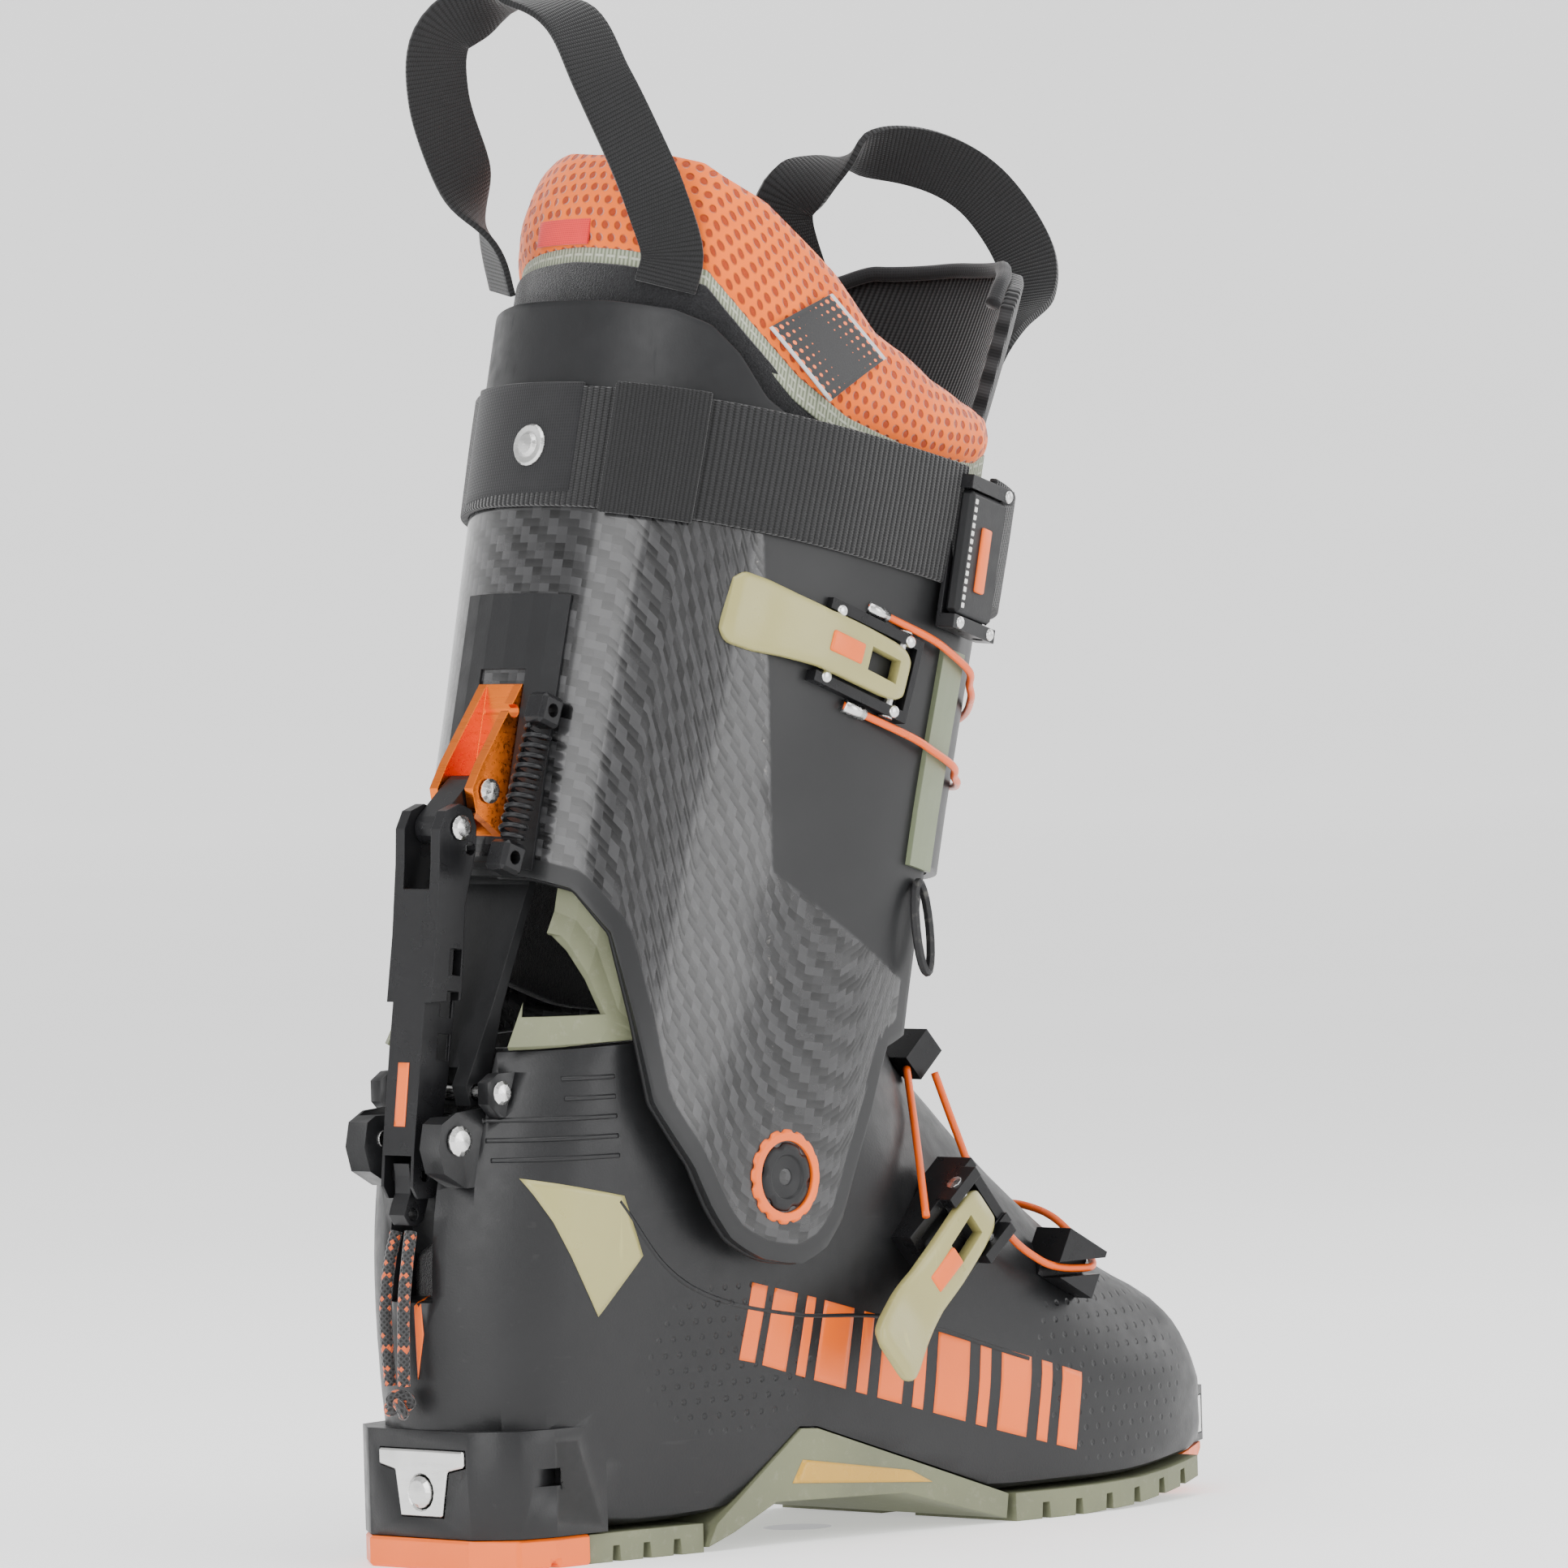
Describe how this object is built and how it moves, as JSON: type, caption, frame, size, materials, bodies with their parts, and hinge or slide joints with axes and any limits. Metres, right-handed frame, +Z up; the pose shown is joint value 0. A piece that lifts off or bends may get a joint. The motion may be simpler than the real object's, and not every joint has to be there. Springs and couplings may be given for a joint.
{
  "type": "alpine touring ski boot",
  "caption": "Right-foot alpine touring boot: hinged cuff on a shell with walk lever, lever buckles, strap and liner, for ski binding use and walking.",
  "frame": {"origin": "centre of the bounding box in plan, at the ground plane under the soles; the pull cord on the heel is not counted", "axes": "+X to the toe, +Y to the medial side of this right boot, +Z up"},
  "size_m": [0.3135, 0.131, 0.4501],
  "materials": {
    "shell_black": "moulded touring-boot plastic, satin",
    "cuff_carbon": "carbon twill under clear coat, gloss",
    "plastic_black": "moulded, matte",
    "rubber_black": "soft, matte",
    "metal_black": "black anodised, satin",
    "orange_plastic": "moulded, satin",
    "orange_metal": "orange anodised, satin",
    "olive_rubber": "moulded, matte",
    "khaki": "moulded, satin",
    "steel": "brushed",
    "webbing": "ribbed webbing",
    "liner_black": "foam under knit and fleece",
    "cable_orange": "coated wire",
    "cord": "braided cord"
  },
  "bodies": {
    "shell": {"lower_shell": "shell_black", "heel_sole_pad": "orange_plastic", "toe_sole_pad": "orange_plastic", "outsole_heel": "olive_rubber", "outsole_forefoot": "olive_rubber", "arch_insert": "olive_rubber", "heel_tech_insert": "steel", "heel_insert_screw": "steel", "toe_tech_insert": "steel", "liner_foot": "liner_black", "insole": "liner_black", "gaiter_lateral": "olive_rubber", "gaiter_medial": "olive_rubber", "throat_gaiter": "rubber_black", "anchor_pin_lateral": "steel", "anchor_pin_medial": "steel", "plate_pin": "steel", "pivot_bolt_lateral": "plastic_black", "pivot_bolt_medial": "plastic_black", "lower_buckle_base": "metal_black", "lower_buckle_pin": "steel", "throat_guide": "metal_black", "cable_bracket": "metal_black", "instep_cable_upper": "cable_orange", "instep_cable_lower": "cable_orange"},
    "cuff": {"cuff_shell": "cuff_carbon", "rear_spoiler": "plastic_black", "rear_spine_plate": "plastic_black", "walk_bracket": "orange_metal", "bracket_pin": "steel", "spring_block_upper": "metal_black", "coil_spring": "metal_black", "pivot_ring_lateral": "orange_plastic", "pivot_ring_medial": "orange_plastic", "upper_buckle_frame": "metal_black", "upper_buckle_pin": "steel", "upper_cable": "cable_orange", "buckle_rail": "olive_rubber", "medial_catch": "metal_black", "power_strap": "webbing", "strap_keeper": "webbing", "strap_rivet": "steel", "cam_buckle_frame": "metal_black", "liner_shaft": "liner_black", "liner_tongue": "liner_black", "rear_pull_loop": "webbing", "front_pull_loop": "webbing"},
    "plate": {"rear_plate": "plastic_black"},
    "link": {"walk_link": "metal_black", "link_pin": "steel"},
    "lever": {"walk_lever": "metal_black", "spring_block_lower": "metal_black"},
    "latch": {"latch": "metal_black", "pull_cord_lateral": "cord", "pull_cord_medial": "cord", "pull_cord_knot": "cord"},
    "upper_buckle": {"upper_buckle_lever": "khaki"},
    "lower_buckle": {"lower_buckle_lever": "khaki"},
    "cam": {"cam_lever": "plastic_black"},
    "ring": {"ring_pull": "rubber_black"}
  },
  "joints": [
    {"name": "cuff_pivot", "type": "hinge", "parent": "shell", "child": "cuff", "pos_m": [-0.0535, 0.00225, 0.107], "axis": [0, 1, 0], "range_deg": [-10, 18], "deforming": ["gaiter_lateral", "gaiter_medial", "throat_gaiter", "liner_shaft", "liner_tongue", "pull_cord_lateral", "pull_cord_medial", "pull_cord_knot"]},
    {"name": "plate_pivot", "type": "hinge", "parent": "shell", "child": "plate", "pos_m": [-0.1345, 0.00225, 0.135], "axis": [0, 1, 0], "range_deg": [-12, 20]},
    {"name": "link_pivot", "type": "hinge", "parent": "cuff", "child": "link", "pos_m": [-0.1215, 0.00225, 0.22], "axis": [0, 1, 0], "range_deg": [0, 25], "deforming": ["coil_spring"]},
    {"name": "lever_pivot", "type": "hinge", "parent": "link", "child": "lever", "pos_m": [-0.1331, 0.00225, 0.21], "axis": [0, 1, 0], "range_deg": [0, 110], "deforming": ["coil_spring"]},
    {"name": "latch_pivot", "type": "hinge", "parent": "lever", "child": "latch", "pos_m": [-0.148, 0.00225, 0.112], "axis": [0, 1, 0], "range_deg": [0, 18], "stiffness_Nm_per_rad": 0.1, "springref_deg": -8.59},
    {"name": "upper_buckle_pivot", "type": "hinge", "parent": "cuff", "child": "upper_buckle", "pos_m": [-0.00862, -0.05835, 0.24895], "axis": [0.3584, 0, 0.9336], "range_deg": [0, 85], "deforming": ["upper_cable"]},
    {"name": "lower_buckle_pivot", "type": "hinge", "parent": "shell", "child": "lower_buckle", "pos_m": [0.0275, -0.04925, 0.0908], "axis": [-0.638, 0, 0.77], "range_deg": [0, 100], "deforming": ["instep_cable_upper"]},
    {"name": "cam_pivot", "type": "hinge", "parent": "cuff", "child": "cam", "pos_m": [0.03115, -0.0582, 0.28002], "axis": [0.2334, 0, 0.9724], "range_deg": [0, 55]},
    {"name": "ring_swing", "type": "hinge", "parent": "cuff", "child": "ring", "pos_m": [0.00511, -0.05117, 0.18909], "axis": [-0.9487, -0.3162, 0], "range_deg": [0, 60]}
  ],
  "couplings": [
    {"joint": "plate_pivot", "follows": "cuff_pivot", "ratio": 1}
  ]
}
